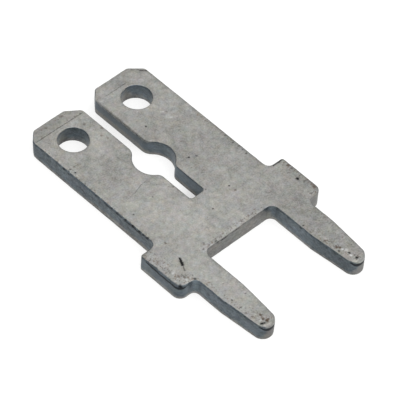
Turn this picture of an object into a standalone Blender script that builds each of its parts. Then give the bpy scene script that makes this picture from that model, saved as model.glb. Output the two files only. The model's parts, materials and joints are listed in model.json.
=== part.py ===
"""Solder tab terminal: two push-on tabs on a shoulder, with two pins for a circuit board.

The whole part is one flat piece, stamped from brass strip and then tin plated. It lies on
its broad side. X runs across the two tabs, +Y points to the tab tips and Z is the
thickness. The origin is the middle of the footprint, on the underside. Lengths are in
metres.
"""

import math

import bmesh
import bpy
from mathutils import Vector

# Strip
THICKNESS = 0.00081
EDGE_ROLL = 0.00005  # rounding that the stamping leaves along every edge

# Tabs: two blades side by side, parted by a slot
PAIR_WIDTH = 0.00635  # over both blades
TAB_HEIGHT = 0.01028  # from the board seat to the tab tips
OUTER_CHAMFER = 0.00058  # plan corner of a tip, outer side
INNER_CHAMFER = 0.0005  # plan corner of a tip, slot side
TIP_TAPER_LENGTH = 0.00068  # coined lead-in on both broad faces of a tip
TIP_TAPER_DEPTH = 0.00012

# Slot between the tabs, with a round widening part of the way down
SLOT_WIDTH = 0.00077
SLOT_DEPTH = 0.00709  # from the tab tips to the foot of the slot
SLOT_FOOT_RADIUS = 0.00013
EYE_DIAMETER = 0.0018
EYE_DEPTH = 0.00448  # from the tab tips to the middle of the widening
EYE_LEAD_RADIUS = 0.00033  # where the slot's sides run into the widening

# Wire hole in each tab
HOLE_DIAMETER = 0.00133
HOLE_DEPTH = 0.00155  # from the tab tips to the middle of the hole
HOLE_OFFSET = 0.00002  # from the blade's middle line, outwards

# Shoulder, whose lower edges sit on the board
SHOULDER_OVERHANG = 0.00083  # past the tabs, on each side
SHOULDER_HEIGHT = 0.00234
SHOULDER_TOP_RADIUS = 0.00012
SHOULDER_SEAT_RADIUS = 0.00038
NECK_RADIUS = 0.00027  # inside corner between a tab and the shoulder

# Pins
PIN_PITCH = 0.00508
PIN_WIDTH = 0.00125
PIN_LENGTH = 0.00371  # from the board seat to the pin tips
PIN_TIP_WIDTH = 0.00083
PIN_TAPER_LENGTH = 0.00222
PIN_TIP_RADIUS = 0.00037
PIN_ROOT_RADIUS = 0.00024  # inside corner between a pin and the seat
CROTCH_HEIGHT = 0.00081  # the edge between the pins lies this far above the seat
CROTCH_RADIUS = 0.00029

# How the solids are made
ARC_STEP = math.radians(10)  # longest step round an arc
FILLET_SHARE = 0.49  # the most that one fillet takes of a straight side
OVERCUT = 0.0002  # how far the strip reaches past the outline that is cut from it
WELD_DISTANCE = 1e-8
ROLL_ANGLE = math.radians(60)  # the stamping rounds edges sharper than this

TIN_COLOUR = (0.40, 0.40, 0.385, 1.0)
TIN_METALLIC = 0.9
TIN_ROUGHNESS = 0.45

# Places along Y that several features share
PIN_TIP_Y = -(TAB_HEIGHT + PIN_LENGTH) / 2
SEAT_Y = PIN_TIP_Y + PIN_LENGTH
TAB_TIP_Y = SEAT_Y + TAB_HEIGHT


def clear_scene():
    for obj in list(bpy.data.objects):
        bpy.data.objects.remove(obj, do_unlink=True)


def new_collection(name):
    collection = bpy.data.collections.new(name)
    bpy.context.scene.collection.children.link(collection)
    return collection


def arc(centre, radius, start, turn):
    """Points along an arc from angle start, both ends included; a negative turn is clockwise."""
    steps = max(1, math.ceil(abs(turn) / ARC_STEP))
    angles = [start + turn * step / steps for step in range(steps + 1)]
    return [centre + radius * Vector((math.cos(angle), math.sin(angle))) for angle in angles]


def fillet(before, corner, after, radius):
    """The points that replace a corner: an arc that touches both of its sides."""
    if radius == 0:
        return [corner]
    one_side = before - corner
    other_side = after - corner
    half_angle = one_side.angle(other_side) / 2
    longest = FILLET_SHARE * min(one_side.length, other_side.length)
    reach = min(radius / math.tan(half_angle), longest)
    fitted = reach * math.tan(half_angle)
    first = corner + one_side.normalized() * reach
    last = corner + other_side.normalized() * reach
    middle_line = (one_side.normalized() + other_side.normalized()).normalized()
    centre = corner + middle_line * fitted / math.sin(half_angle)
    from_centre = first - centre
    turn = -from_centre.angle_signed(last - centre)
    return arc(centre, fitted, math.atan2(from_centre.y, from_centre.x), turn)


def eye_side():
    """The right side of the round widening, upwards, with a fillet at each end."""
    middle = Vector((0, TAB_TIP_Y - EYE_DEPTH))
    radius = EYE_DIAMETER / 2
    lead_x = SLOT_WIDTH / 2 + EYE_LEAD_RADIUS
    lead_rise = math.sqrt((radius + EYE_LEAD_RADIUS) ** 2 - lead_x**2)
    lead_angle = math.atan2(lead_rise, lead_x)
    lower_lead = middle + Vector((lead_x, -lead_rise))
    upper_lead = middle + Vector((lead_x, lead_rise))
    lower = arc(lower_lead, EYE_LEAD_RADIUS, math.pi, -lead_angle)
    eye = arc(middle, radius, -lead_angle, 2 * lead_angle)
    upper = arc(upper_lead, EYE_LEAD_RADIUS, math.pi + lead_angle, -lead_angle)
    return lower + eye[1:-1] + upper


def right_half():
    """The outline's right half as (point, radius): from the slot's foot round to the crotch."""
    slot_side = SLOT_WIDTH / 2
    tab_side = PAIR_WIDTH / 2
    shoulder_side = tab_side + SHOULDER_OVERHANG
    shoulder_y = SEAT_Y + SHOULDER_HEIGHT
    pin_x = PIN_PITCH / 2
    taper_y = PIN_TIP_Y + PIN_TAPER_LENGTH
    return [
        (Vector((slot_side, TAB_TIP_Y - SLOT_DEPTH)), SLOT_FOOT_RADIUS),
        *[(point, 0) for point in eye_side()],
        (Vector((slot_side, TAB_TIP_Y - INNER_CHAMFER)), 0),
        (Vector((slot_side + INNER_CHAMFER, TAB_TIP_Y)), 0),
        (Vector((tab_side - OUTER_CHAMFER, TAB_TIP_Y)), 0),
        (Vector((tab_side, TAB_TIP_Y - OUTER_CHAMFER)), 0),
        (Vector((tab_side, shoulder_y)), NECK_RADIUS),
        (Vector((shoulder_side, shoulder_y)), SHOULDER_TOP_RADIUS),
        (Vector((shoulder_side, SEAT_Y)), SHOULDER_SEAT_RADIUS),
        (Vector((pin_x + PIN_WIDTH / 2, SEAT_Y)), PIN_ROOT_RADIUS),
        (Vector((pin_x + PIN_WIDTH / 2, taper_y)), 0),
        (Vector((pin_x + PIN_TIP_WIDTH / 2, PIN_TIP_Y)), PIN_TIP_RADIUS),
        (Vector((pin_x - PIN_TIP_WIDTH / 2, PIN_TIP_Y)), PIN_TIP_RADIUS),
        (Vector((pin_x - PIN_WIDTH / 2, taper_y)), 0),
        (Vector((pin_x - PIN_WIDTH / 2, SEAT_Y + CROTCH_HEIGHT)), CROTCH_RADIUS),
    ]


def terminal_outline():
    """The closed outline of the whole terminal, its left half a mirror image of the right."""
    right = right_half()
    left = [(Vector((-point.x, point.y)), radius) for point, radius in reversed(right)]
    corners = right + left
    outline = []
    for index, (corner, radius) in enumerate(corners):
        before = corners[index - 1][0]
        after = corners[(index + 1) % len(corners)][0]
        outline += fillet(before, corner, after, radius)
    return outline


def hole_outline(side):
    """The wire hole in the tab on one side: 1 is the right, -1 the left."""
    blade_middle = (SLOT_WIDTH + PAIR_WIDTH) / 4
    centre = Vector((side * (blade_middle + HOLE_OFFSET), TAB_TIP_Y - HOLE_DEPTH))
    return arc(centre, HOLE_DIAMETER / 2, 0, 2 * math.pi)[:-1]


def strip_section():
    """The strip seen from its side, as (Y, Z): flat, with both faces coined towards the tips."""
    slope = TIP_TAPER_DEPTH / TIP_TAPER_LENGTH
    start = PIN_TIP_Y - OVERCUT
    crease = TAB_TIP_Y - TIP_TAPER_LENGTH
    end = TAB_TIP_Y + OVERCUT
    end_depth = slope * (end - crease)
    lower = [Vector((start, 0)), Vector((crease, 0)), Vector((end, end_depth))]
    upper = [Vector((point.x, THICKNESS - point.y)) for point in reversed(lower)]
    return lower + upper


def extruded(name, outlines, height):
    """A closed mesh of the outlines, extruded both ways; an outline inside another is a hole."""
    curve = bpy.data.curves.new(name, "CURVE")
    curve.dimensions = "2D"
    curve.fill_mode = "BOTH"
    curve.extrude = height / 2
    for outline in outlines:
        spline = curve.splines.new("POLY")
        spline.points.add(len(outline) - 1)
        spline.use_cyclic_u = True
        for point, place in zip(spline.points, outline):
            point.co = (place.x, place.y, 0, 1)
    drawing = bpy.data.objects.new(name, curve)
    bpy.context.scene.collection.objects.link(drawing)
    graph = bpy.context.evaluated_depsgraph_get()
    mesh = bpy.data.meshes.new_from_object(drawing.evaluated_get(graph))
    bpy.data.objects.remove(drawing)
    bpy.data.curves.remove(curve)
    shape = bmesh.new()
    shape.from_mesh(mesh)
    bmesh.ops.remove_doubles(shape, verts=shape.verts, dist=WELD_DISTANCE)
    bmesh.ops.recalc_face_normals(shape, faces=shape.faces)
    shape.to_mesh(mesh)
    shape.free()
    return mesh


def tin_material():
    material = bpy.data.materials.new("tin_plating")
    material.use_nodes = True
    surface = material.node_tree.nodes["Principled BSDF"]
    surface.inputs["Base Color"].default_value = TIN_COLOUR
    surface.inputs["Metallic"].default_value = TIN_METALLIC
    surface.inputs["Roughness"].default_value = TIN_ROUGHNESS
    material.diffuse_color = TIN_COLOUR
    return material


def make_strip(cutters):
    """The strip as rolled and coined, before stamping."""
    width = PAIR_WIDTH + 2 * (SHOULDER_OVERHANG + OVERCUT)
    width = max(width, PIN_PITCH + PIN_WIDTH + 2 * OVERCUT)
    strip = bpy.data.objects.new("strip", extruded("strip", [strip_section()], width))
    # The section's first axis becomes Y, its second Z, and it is extruded along X.
    strip.rotation_euler = (math.radians(90), 0, math.radians(90))
    strip.hide_render = True
    strip.display_type = "WIRE"
    cutters.objects.link(strip)
    return strip


def make_terminal(parts, strip):
    """The terminal: what the stamping outline leaves of the strip, with rolled edges."""
    outlines = [terminal_outline(), hole_outline(1), hole_outline(-1)]
    mesh = extruded("terminal", outlines, THICKNESS + 2 * OVERCUT)
    mesh.materials.append(tin_material())
    terminal = bpy.data.objects.new("terminal", mesh)
    terminal.location.z = THICKNESS / 2
    parts.objects.link(terminal)
    stamping = terminal.modifiers.new("stamping", "BOOLEAN")
    stamping.operation = "INTERSECT"
    stamping.solver = "EXACT"
    stamping.object = strip
    rolling = terminal.modifiers.new("edge_roll", "BEVEL")
    rolling.width = EDGE_ROLL
    rolling.segments = 2
    rolling.limit_method = "ANGLE"
    rolling.angle_limit = ROLL_ANGLE
    rolling.use_clamp_overlap = False
    rolling.harden_normals = True
    return terminal


def main():
    clear_scene()
    parts = new_collection("solder_tab_terminal")
    cutters = new_collection("cutters")
    strip = make_strip(cutters)
    make_terminal(parts, strip)


main()
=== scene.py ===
# %% [markdown]
# # Solder tab terminal
#
# A solder tab terminal is one flat piece of brass strip, stamped to shape and then tin plated.
# Two pins go through a circuit board, the shoulder sits on the board, and two tabs take push-on
# connectors or soldered wires. The CAD model already holds its outline and its sizes. This
# lesson dresses it: the same outline is built again as a fine mesh, with the rolled, shiny and
# torn bands that a press leaves along an edge, and with a matte, mottled tin finish.

import json
import math

import bpy
import numpy as np
from mathutils import Matrix, Vector, noise
from mathutils.geometry import delaunay_2d_cdt
from mathutils.kdtree import KDTree

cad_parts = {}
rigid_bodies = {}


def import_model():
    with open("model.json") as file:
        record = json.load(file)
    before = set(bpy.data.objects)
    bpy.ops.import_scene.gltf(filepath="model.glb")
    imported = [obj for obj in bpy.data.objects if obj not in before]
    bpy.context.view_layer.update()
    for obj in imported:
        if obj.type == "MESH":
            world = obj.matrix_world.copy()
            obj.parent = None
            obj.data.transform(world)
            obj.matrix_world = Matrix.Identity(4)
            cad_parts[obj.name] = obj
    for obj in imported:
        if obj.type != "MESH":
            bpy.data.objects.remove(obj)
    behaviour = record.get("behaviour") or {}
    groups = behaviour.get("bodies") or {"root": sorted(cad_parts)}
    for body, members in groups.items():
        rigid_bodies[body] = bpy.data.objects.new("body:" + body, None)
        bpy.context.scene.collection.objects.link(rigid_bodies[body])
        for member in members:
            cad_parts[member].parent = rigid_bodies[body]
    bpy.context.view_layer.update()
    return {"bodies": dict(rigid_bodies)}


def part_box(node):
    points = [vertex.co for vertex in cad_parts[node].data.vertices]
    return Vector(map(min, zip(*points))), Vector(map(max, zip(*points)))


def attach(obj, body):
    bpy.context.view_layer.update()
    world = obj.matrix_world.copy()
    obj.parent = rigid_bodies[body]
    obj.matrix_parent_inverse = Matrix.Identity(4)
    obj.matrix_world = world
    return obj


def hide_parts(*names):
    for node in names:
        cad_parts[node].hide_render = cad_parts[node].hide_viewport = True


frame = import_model()

# %% [markdown]
# ## Sizes
#
# The part is drawn in millimetres, because its details are tenths and hundredths of one. They
# become metres only when the mesh is written. X runs across the two tabs, +Y points to the tab
# tips and Z is the thickness. Each size below is one that could be measured on the real part.

# %% Sizes in millimetres
MM = 0.001  # metres

THICKNESS = 0.81
PAIR_WIDTH = 6.35  # over both tabs
TAB_HEIGHT = 10.28  # from the board seat to the tab tips
TAB_CORNER_RADIUS = 0.2
TIP_TAPER_LENGTH = 0.68  # the tab tips are pressed thinner, as a lead-in

# Sizes that the two tabs don't quite share: 1 is the right tab and -1 the left
PAIR_SIDES = {1: 3.195, -1: 3.175}  # from the middle of the slot to the tab's outer side
OUTER_CHAMFERS = {1: (0.535, 0.535), -1: (0.58, 0.59)}  # across the tab, and down it
INNER_CHAMFERS = {1: (0.455, 0.52), -1: (0.53, 0.53)}
TAB_SIDE_RADII = {1: 0.2, -1: 0.35}  # where the outer chamfer meets the tab's side
TIP_TAPER_DEPTHS = {1: 0.07, -1: 0.16}  # how far each face is pressed in at the very tip
HOLE_DEPTHS = {1: 1.53, -1: 1.57}  # from the tab's tip to the middle of its wire hole

SLOT_WIDTH = 0.77
SLOT_DEPTH = 7.09
SLOT_FOOT_RADIUS = 0.13
EYE_DIAMETER = 1.8  # the round widening of the slot
EYE_DEPTH = 4.48
EYE_LEAD_RADII = {1: 0.55, -1: 0.33}  # above the eye, 1, and below it

HOLE_DIAMETER = 1.33
HOLE_OFFSET = 0.02  # outwards from the middle of the tab

SHOULDER_OVERHANG = 0.83
SHOULDER_HEIGHT = 2.34
SHOULDER_TOP_RADIUS = 0.12
SHOULDER_SEAT_RADIUS = 0.38
NECK_RADIUS = 0.22

PIN_PITCH = 5.08
PIN_WIDTH = 1.25
PIN_LENGTH = 3.71
PIN_TIP_WIDTH = 0.83  # between the corners, before they are rounded
PIN_TAPER_LENGTH = 2.22
PIN_TIP_RADIUS = 0.45
PIN_ROOT_RADIUS = 0.24
CROTCH_HEIGHT = 0.81  # how far the gap between the pins reaches above the seat
CROTCH_RADIUS = 0.29
CORNER_SOFTENING = 0.06  # a press never leaves a plan corner quite sharp

# Places that follow from the sizes
PIN_TIP_Y = -(TAB_HEIGHT + PIN_LENGTH) / 2
SEAT_Y = PIN_TIP_Y + PIN_LENGTH
TAB_TIP_Y = SEAT_Y + TAB_HEIGHT
CREASE_Y = TAB_TIP_Y - TIP_TAPER_LENGTH
SHOULDER_Y = SEAT_Y + SHOULDER_HEIGHT
CROTCH_Y = SEAT_Y + CROTCH_HEIGHT
HOLE_Y = TAB_TIP_Y - HOLE_DEPTHS[1]
HOLE_X = (SLOT_WIDTH + PAIR_WIDTH) / 4  # the middle of a tab, close to the middle of its hole
SLOT_SIDE = SLOT_WIDTH / 2
TAB_SIDE = PAIR_WIDTH / 2
SHOULDER_SIDE = TAB_SIDE + SHOULDER_OVERHANG
PIN_X = PIN_PITCH / 2
PIN_SIDE = PIN_WIDTH / 2
PIN_TIP_SIDE = PIN_TIP_WIDTH / 2
TAPER_SIDE = (PIN_WIDTH + PIN_TIP_WIDTH) / 4  # half the pin's width, halfway down its taper

low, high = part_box("terminal")
print("CAD size in mm:", [round(side / MM, 3) for side in high - low])

# %% [markdown]
# ## Camera
#
# The part lies on its broad side and the camera looks down on it from the pins' left. A long
# lens from 15 cm away keeps the sides almost parallel, as in a close-up of a small part. The
# camera's place is worked out from angles and a distance, so each can be changed alone.

# %% Camera
AZIMUTH = -47.02  # degrees round the part, from straight in front of the pins
ELEVATION = 48.61
CAMERA_TILT = 4.43  # the camera is turned this far about its own axis
CAMERA_DISTANCE = 152.5  # this and the next three are in millimetres
AIM = Vector((0.102, -0.151, 0.405))  # the place on the part that the lens faces
SENSOR_WIDTH = 36
LENS = 337
CLIP_RANGE = (0.005, 10)  # metres


def new_object(name, data):
    """An object in the scene that shows this data."""
    made = bpy.data.objects.new(name, data)
    bpy.context.scene.collection.objects.link(made)
    return made


def camera_axes(azimuth, elevation, tilt):
    """The camera's right, up and backward directions."""
    back = Vector((
        math.sin(azimuth) * math.cos(elevation),
        -math.cos(azimuth) * math.cos(elevation),
        math.sin(elevation),
    ))
    right = Vector((math.cos(azimuth), math.sin(azimuth), 0))
    up = back.cross(right)
    turned_right = right * math.cos(tilt) + up * math.sin(tilt)
    turned_up = up * math.cos(tilt) - right * math.sin(tilt)
    return turned_right, turned_up, back


def make_camera():
    """The camera, aimed at the part and made the scene's own."""
    data = bpy.data.cameras.new("camera")
    data.sensor_width = SENSOR_WIDTH
    data.lens = LENS
    data.clip_start, data.clip_end = CLIP_RANGE
    camera = new_object("camera", data)
    right, up, back = camera_axes(*map(math.radians, (AZIMUTH, ELEVATION, CAMERA_TILT)))
    place = (AIM + back * CAMERA_DISTANCE) * MM
    turn = Matrix((right, up, back)).transposed().to_4x4()
    camera.matrix_world = Matrix.Translation(place) @ turn
    bpy.context.scene.camera = camera
    return camera


camera = make_camera()
print("camera stands at", [round(value / MM, 1) for value in camera.location], "mm")

# %% [markdown]
# ## Plan outline
#
# A press cuts the whole outline at once, so one closed line describes it. Each half is a list
# of corners with a radius. The halves mirror each other, except where the tabs have sizes of
# their own. Where the slot widens, the line is three arcs that touch. The line runs with the
# metal on its right, and the line of each wire hole does so too, so one rule finds the outside.

# %% Corners, arcs and fillets
ARC_STEP = math.radians(6)
FILLET_SHARE = 0.49  # the most that one fillet takes of a straight side


def arc(centre, radius, start, turn):
    """Points along an arc, both ends included; a negative turn is clockwise."""
    steps = max(1, math.ceil(abs(turn) / ARC_STEP))
    angles = [start + turn * step / steps for step in range(steps + 1)]
    return [centre + radius * Vector((math.cos(angle), math.sin(angle))) for angle in angles]


def fillet(before, corner, after, radius):
    """The points that replace a corner: an arc that touches both of its sides."""
    if radius == 0:
        return [corner]
    one_side = before - corner
    other_side = after - corner
    half_angle = one_side.angle(other_side) / 2
    longest = FILLET_SHARE * min(one_side.length, other_side.length)
    reach = min(radius / math.tan(half_angle), longest)
    fitted = reach * math.tan(half_angle)
    first = corner + one_side.normalized() * reach
    last = corner + other_side.normalized() * reach
    middle_line = (one_side.normalized() + other_side.normalized()).normalized()
    centre = corner + middle_line * fitted / math.sin(half_angle)
    from_centre = first - centre
    turn = -from_centre.angle_signed(last - centre)
    return arc(centre, fitted, math.atan2(from_centre.y, from_centre.x), turn)


def eye_side():
    """The right side of the slot's round widening, upwards."""
    middle = Vector((0, TAB_TIP_Y - EYE_DEPTH))
    radius = EYE_DIAMETER / 2
    leads = []
    angles = []
    for end, lead_radius in EYE_LEAD_RADII.items():
        lead_x = SLOT_SIDE + lead_radius
        lead_rise = math.sqrt((radius + lead_radius) ** 2 - lead_x**2)
        leads.append(middle + Vector((lead_x, end * lead_rise)))
        angles.append(math.atan2(lead_rise, lead_x))
    upper_lead, lower_lead = leads
    upper_angle, lower_angle = angles
    lower = arc(lower_lead, EYE_LEAD_RADII[-1], math.pi, -lower_angle)
    eye = arc(middle, radius, -lower_angle, lower_angle + upper_angle)
    upper = arc(upper_lead, EYE_LEAD_RADII[1], math.pi + upper_angle, -upper_angle)
    return lower + eye[1:-1] + upper


def half_outline(side):
    """One half of the outline as (point, radius), from the slot's foot round to the crotch."""
    tab_side = PAIR_SIDES[side]
    inner_across, inner_down = INNER_CHAMFERS[side]
    outer_across, outer_down = OUTER_CHAMFERS[side]
    taper_y = PIN_TIP_Y + PIN_TAPER_LENGTH
    corners = [
        ((SLOT_SIDE, TAB_TIP_Y - SLOT_DEPTH), SLOT_FOOT_RADIUS),
        *[(point, 0) for point in eye_side()],
        ((SLOT_SIDE, TAB_TIP_Y - inner_down), TAB_CORNER_RADIUS),
        ((SLOT_SIDE + inner_across, TAB_TIP_Y), TAB_CORNER_RADIUS),
        ((tab_side - outer_across, TAB_TIP_Y), TAB_CORNER_RADIUS),
        ((tab_side, TAB_TIP_Y - outer_down), TAB_SIDE_RADII[side]),
        ((tab_side, SHOULDER_Y), NECK_RADIUS),
        ((SHOULDER_SIDE, SHOULDER_Y), SHOULDER_TOP_RADIUS),
        ((SHOULDER_SIDE, SEAT_Y), SHOULDER_SEAT_RADIUS),
        ((PIN_X + PIN_SIDE, SEAT_Y), PIN_ROOT_RADIUS),
        ((PIN_X + PIN_SIDE, taper_y), CORNER_SOFTENING),
        ((PIN_X + PIN_TIP_SIDE, PIN_TIP_Y), PIN_TIP_RADIUS),
        ((PIN_X - PIN_TIP_SIDE, PIN_TIP_Y), PIN_TIP_RADIUS),
        ((PIN_X - PIN_SIDE, taper_y), CORNER_SOFTENING),
        ((PIN_X - PIN_SIDE, CROTCH_Y), CROTCH_RADIUS),
    ]
    return [(Vector((side * x, y)), radius) for (x, y), radius in corners]


def terminal_outline():
    """The whole outline, down one half and back up the other."""
    corners = half_outline(1) + half_outline(-1)[::-1]
    outline = []
    for index, (corner, radius) in enumerate(corners):
        before = corners[index - 1][0]
        after = corners[(index + 1) % len(corners)][0]
        outline += fillet(before, corner, after, radius)
    return outline


def hole_outline(side):
    """The wire hole of one tab: side 1 is the right tab, -1 the left."""
    centre = Vector((side * (HOLE_X + HOLE_OFFSET), TAB_TIP_Y - HOLE_DEPTHS[side]))
    return arc(centre, HOLE_DIAMETER / 2, 0, 2 * math.pi)[:-1]


print("points on the drawn outline:", len(terminal_outline()))

# %% [markdown]
# An edge that shows its wear needs points at an even, close spacing, whatever the corners are.
# So the line is walked at equal steps, and each step keeps the direction that faces away from
# the metal. A cut edge is never ruler straight either, so the line wanders by a few thousandths.

# %% Even steps along a line
EDGE_SPACING = 0.036
EDGE_WANDER = 0.006
WANDER_LENGTH = 0.35


def evenly_spaced(points, spacing):
    """A closed line's points, moved to even steps along it."""
    closed = np.array([*points, points[0]], float)
    steps = np.linalg.norm(np.diff(closed, axis=0), axis=1)
    along = np.concatenate([[0], np.cumsum(steps)])
    count = round(along[-1] / spacing)
    places = np.linspace(0, along[-1], count, endpoint=False)
    return np.column_stack([np.interp(places, along, closed[:, axis]) for axis in (0, 1)])


def outward(loop):
    """Unit directions away from the metal, which lies on the right of the line."""
    ahead = np.roll(loop, -1, axis=0) - np.roll(loop, 1, axis=0)
    ahead /= np.linalg.norm(ahead, axis=1)[:, None]
    return np.column_stack([-ahead[:, 1], ahead[:, 0]])


def noise_at(x, y, z, size):
    """Smooth noise from -1 to 1 in patches of about this size; z picks one of many layers."""
    return noise.noise(Vector((x, y, z)) / size)


def wandering(loop):
    """The line with each point moved a little in or out."""
    shift = [EDGE_WANDER * noise_at(x, y, 0, WANDER_LENGTH) for x, y in loop]
    return loop + outward(loop) * np.array(shift)[:, None]


drawn_lines = [terminal_outline(), hole_outline(1), hole_outline(-1)]
loops = [wandering(evenly_spaced(line, EDGE_SPACING)) for line in drawn_lines]
print("points along each line:", [len(loop) for loop in loops])

# %% [markdown]
# ## Stamped edge
#
# A punch first drags the surface down before it cuts, which rounds the top edge: the roll. Then
# it cuts a smooth, burnished band, and the last of the metal tears off as a dull band. How deep
# each band is depends on the clearance at that place, so it changes along the outline: the roll
# is large on the pin tips and small in an inner corner. Every list below holds places as (x, y,
# reach along x, reach along y, value), and the line above it says what the value is.

# %% Roll and tear along the edge
ROLL_WIDTH = 0.075
ROLL_DEPTH = 0.06
FOOT_ROUND = 0.024
TEAR_SHARE = 0.16  # share of the wall's height that is torn
TEAR_INSET = 0.008
TEAR_ROUGHNESS = 0.005
MOST_TORN = 1.25  # above 1 the tear reaches up over the roll
ROLL_CHANGE = 0.2  # share of itself that the roll gains or loses at random along the edge
TEAR_CHANGE = 0.12
WIDTH_NOISE = (5, 0.6)  # layer of the noise, and size of its patches
DEPTH_NOISE = (7, 0.6)
TEAR_NOISE = (9, 0.25)

inner_corners = [
    (side * x, y)
    for side in (1, -1)
    for x, y in ((TAB_SIDE, SHOULDER_Y), (PIN_X + PIN_SIDE, SEAT_Y), (PIN_X - PIN_SIDE, CROTCH_Y))
]
pin_tips = [(side * PIN_X, PIN_TIP_Y) for side in (1, -1)]

# What is added to the width of the roll
ROLL_WIDENED = [
    (-SHOULDER_SIDE, -2.2, 0.35, 0.8, 0.1),
    (-3.85, -3.1, 0.3, 0.3, 0.12),
    *[(x, y, 0.42, 0.42, 0.12) for x, y in pin_tips],
    *[(x, y, 0.25, 0.25, -0.05) for x, y in inner_corners],
]

# What is added to its depth
ROLL_DEEPENED = [
    (-SHOULDER_SIDE, -2.2, 0.35, 0.8, 0.07),
    (-3.85, -3.1, 0.3, 0.3, 0.06),
    (-TAB_SIDE, 1, 0.2, 2, -0.02),
    (SLOT_SIDE, 5, 0.25, 1.9, 0.07),
    (SLOT_SIDE, 0.7, 0.25, 1, 0.02),
    (-3.45, SEAT_Y, 0.3, 0.2, 0.01),
    *[(x, y, 0.42, 0.38, 0.1) for x, y in pin_tips],
    (PIN_X, PIN_TIP_Y, 0.42, 0.38, 0.025),
    (-PIN_X, PIN_TIP_Y, 0.42, 0.38, 0.02),
    *[(x, y, 0.25, 0.25, -0.04) for x, y in inner_corners],
]

# The share that is torn
TEAR_SHARES = [
    (-0.3, CROTCH_Y, 1.8, 0.25, 2),
    (-SHOULDER_SIDE, -2.1, 0.2, 0.8, 0.28),
    (-3.4, SEAT_Y, 0.4, 0.15, 0.15),
    (3.6, SEAT_Y, 0.8, 0.5, 1.1),
    *[(x + 0.1, y, 0.4, 0.3, 0.95) for x, y in pin_tips],
    (SLOT_SIDE, 5.1, 0.2, 1.9, 0.42),
    (SLOT_SIDE, 0.7, 0.2, 1, 0.22),
    (HOLE_X - 0.15, HOLE_Y + 0.65, 0.45, 0.3, 0.75),
    (-HOLE_X - 0.15, HOLE_Y + 0.62, 0.35, 0.25, 0.6),
    (0.5 - HOLE_X, HOLE_Y - 0.2, 0.3, 0.4, 0.2),
    (-TAB_SIDE, 0.9, 0.2, 1.9, 0.33),
]

# How gradually the burnished band turns into the torn one, where 1 is usual
TEAR_SOFTNESS = [
    *[(x, y, 0.5, 0.45, 3) for x, y in pin_tips],
    *[(side * HOLE_X, HOLE_Y, 1, 1, 4) for side in (1, -1)],
    (1.6, CROTCH_Y, 0.4, 0.4, 3),
]

# How far the foot of the wall stands in from its top: below 0 it stands out
LEANS = [
    (0.29 - TAB_SIDE, TAB_TIP_Y - 0.29, 0.5, 0.5, 0.045),
    (-PIN_X, PIN_TIP_Y, 0.5, 0.3, 0.012),
    (SLOT_SIDE, 5, 0.25, 1.9, 0.01),
    (-TAB_SIDE, 1.2, 0.2, 2, 0.012),
    (SLOT_SIDE, 0.7, 0.25, 1.1, -0.03),
    (PIN_X - PIN_SIDE, -4, 0.25, 1.5, -0.015),
]

FLATNESS = 2  # a place keeps its full value round its middle, and then fades


def nearness(x, y, middle_x, middle_y, reach_x, reach_y, flatness=FLATNESS):
    """1 at a place, falling smoothly to 0; a higher flatness falls later and faster."""
    square = ((x - middle_x) / reach_x) ** 2 + ((y - middle_y) / reach_y) ** 2
    return math.exp(-(square**flatness))


def eased(usual, x, y, places):
    """The usual value, turned towards each listed place's own value as it gets near."""
    value = usual
    for middle_x, middle_y, reach_x, reach_y, other in places:
        value += nearness(x, y, middle_x, middle_y, reach_x, reach_y) * (other - value)
    return value


def added(x, y, places, flatness=FLATNESS):
    """The sum of what the listed places add here."""
    return sum(nearness(x, y, *place[:4], flatness) * place[4] for place in places)


def roll_at(x, y):
    """Width and depth of the rolled edge at a place on the outline."""
    width = ROLL_WIDTH + added(x, y, ROLL_WIDENED)
    depth = ROLL_DEPTH + added(x, y, ROLL_DEEPENED)
    widened = 1 + ROLL_CHANGE * noise_at(x, y, *WIDTH_NOISE)
    deepened = 1 + ROLL_CHANGE * noise_at(x, y, *DEPTH_NOISE)
    return width * widened, depth * deepened


def tear_at(x, y):
    """Share of the wall that is torn, at a place on the outline."""
    changed = 1 + TEAR_CHANGE * noise_at(x, y, *TEAR_NOISE)
    return min(MOST_TORN, eased(TEAR_SHARE, x, y, TEAR_SHARES) * changed)


edge_places = [(x, y) for loop in loops for x, y in loop]
roll_depths = [roll_at(x, y)[1] for x, y in edge_places]
print("roll depth from", round(min(roll_depths), 3), "to", round(max(roll_depths), 3), "mm")

# %% [markdown]
# ## Rings down the edge
#
# The edge is made as rings: each is the outline again, a little inwards and a little lower. The
# first few follow a quarter of an ellipse over the roll, the next go down the wall, and the
# last turn the foot. Between rings lie quads. Every point also remembers numbers that the
# materials need later, such as how far below the roll it is. They are kept as attributes.

# %% Heights of the two broad faces
CREASE_SOFTNESS = 0.015


def tip_taper(x, y):
    """How much each broad face is pressed in at this place on a tab."""
    past = y - CREASE_Y
    slope = TIP_TAPER_DEPTHS[1 if x > 0 else -1] / TIP_TAPER_LENGTH
    return slope * (past + math.sqrt(past**2 + CREASE_SOFTNESS**2)) / 2


def top_z(x, y):
    return THICKNESS - tip_taper(x, y)


def bottom_z(x, y):
    return tip_taper(x, y)


# %% Rings of one line
ROLL_STEPS = 5
WALL_STEPS = 14
FOOT_STEPS = 3
ROUGH_PATCH = 0.07
ROUGH_START = 0.25  # share of the tear's height over which its roughness grows


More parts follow.
